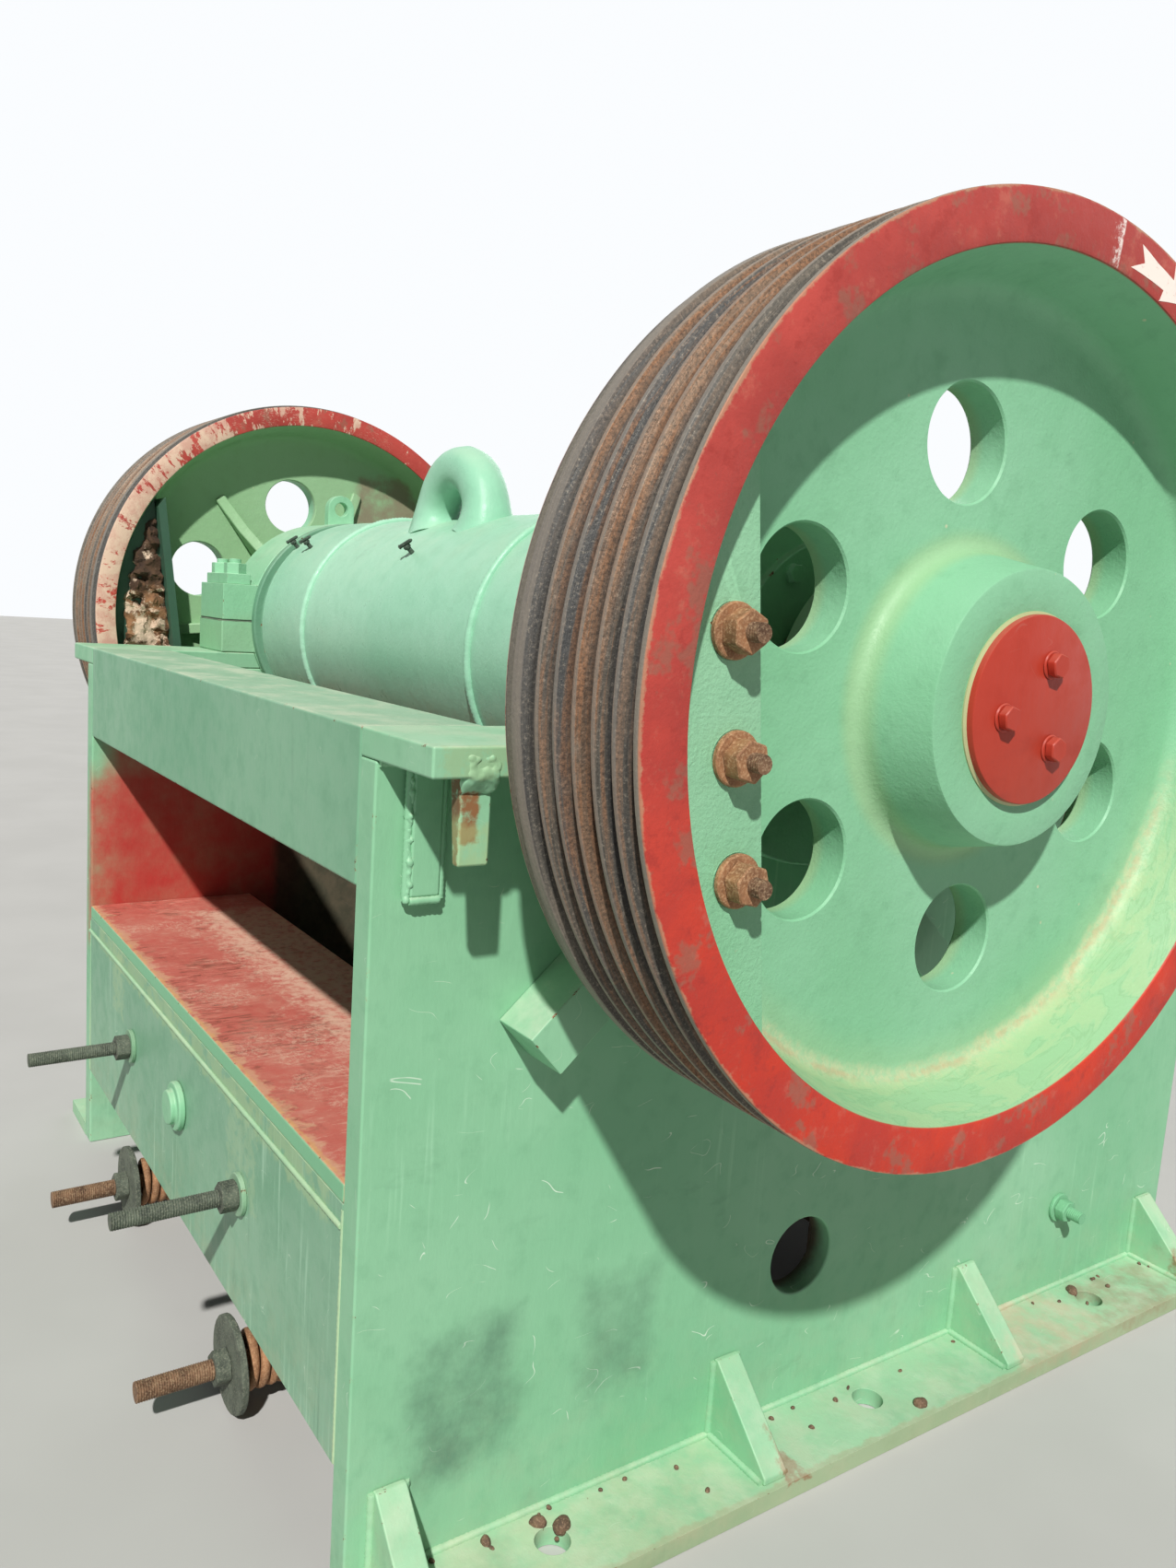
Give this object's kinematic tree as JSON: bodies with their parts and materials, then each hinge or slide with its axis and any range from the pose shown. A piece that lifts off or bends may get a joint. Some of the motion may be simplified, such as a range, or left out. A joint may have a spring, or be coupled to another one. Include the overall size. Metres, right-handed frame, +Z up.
{
  "type": "jaw crusher",
  "caption": "Jaw crusher in a welded plate frame, with two grooved flywheels on an eccentric shaft and a swing jaw that faces a fixed jaw.",
  "frame": {"origin": "on the ground under the middle of the machine's bounding box", "axes": "+X along the shaft towards the right-hand flywheel, +Y towards the feed end and the fixed jaw, +Z up"},
  "size_m": [2.72, 2.247, 1.945],
  "materials": {
    "frame_paint": "worn mint green paint with dust, scratches and rust at the edges",
    "base_paint": "mint green paint under beige dust with rust at the welds",
    "bearing_paint": "mint green paint, oily olive tint below the split",
    "jaw_paint": "mint green paint on cast steel",
    "bolt_paint": "green paint over pads and nuts",
    "wheel_paint": "green painted web, red rim sides, bare rusty grooves",
    "weight_paint": "green paint, rusty studs and washers",
    "balance_cast": "rusty lumpy cast filling",
    "cap_red": "red paint, slightly glossy",
    "shelf_red": "faded red paint with dust",
    "shaft_steel": "dull steel with a thin film of rust",
    "rusty_steel": "rusty threaded steel",
    "jaw_steel": "rough cast manganese steel",
    "toggle_paint": "dusty dark green paint"
  },
  "bodies": {
    "frame": {"side_plate_left": "frame_paint", "side_plate_right": "frame_paint", "top_flange_left": "frame_paint", "top_flange_right": "frame_paint", "base_flange_left": "base_paint", "base_flange_right": "base_paint", "base_gussets_left": "base_paint", "base_gussets_right": "base_paint", "flange_brackets_left": "frame_paint", "flange_brackets_right": "frame_paint", "bearing_braces_left": "frame_paint", "bearing_braces_right": "frame_paint", "rear_top_beam": "frame_paint", "rear_lower_wall": "frame_paint", "rear_shelf": "shelf_red", "rear_boss": "frame_paint", "adjusting_studs": "rusty_steel", "toggle_block": "toggle_paint", "toggle_plate": "toggle_paint", "tension_rods": "rusty_steel", "front_wall": "frame_paint", "front_ribs": "frame_paint", "fixed_jaw_plate": "jaw_steel", "cheek_plate_left": "jaw_steel", "cheek_plate_right": "jaw_steel", "bearing_housing_left": "bearing_paint", "bearing_housing_right": "bearing_paint", "bearing_cap_left": "bearing_paint", "bearing_cap_right": "bearing_paint", "cap_bolts_left": "bolt_paint", "cap_bolts_right": "bolt_paint", "seal_ring_left": "bearing_paint", "seal_ring_right": "bearing_paint", "side_studs": "rusty_steel"},
    "rotor": {"shaft": "shaft_steel", "flywheel_left": "wheel_paint", "flywheel_right": "wheel_paint", "balance_weight_left": "weight_paint", "balance_weight_right": "weight_paint", "balance_pocket_left": "balance_cast", "balance_pocket_right": "balance_cast", "end_cap_left": "cap_red", "end_cap_right": "cap_red"},
    "swing_jaw": {"swing_jaw": "jaw_paint", "jaw_ribs": "jaw_paint", "toggle_seat": "jaw_paint", "moving_jaw_plate": "jaw_steel", "lifting_eye": "jaw_paint"}
  },
  "joints": [
    {"name": "flywheel_turn", "type": "hinge", "parent": "frame", "child": "rotor", "pos_m": [0, -0.2565, 1.345], "axis": [1, 0, 0], "continuous": true},
    {"name": "jaw_swing", "type": "hinge", "parent": "frame", "child": "swing_jaw", "pos_m": [0, -0.2565, 1.345], "axis": [1, 0, 0], "range_deg": [-0.6, 0.6]}
  ]
}
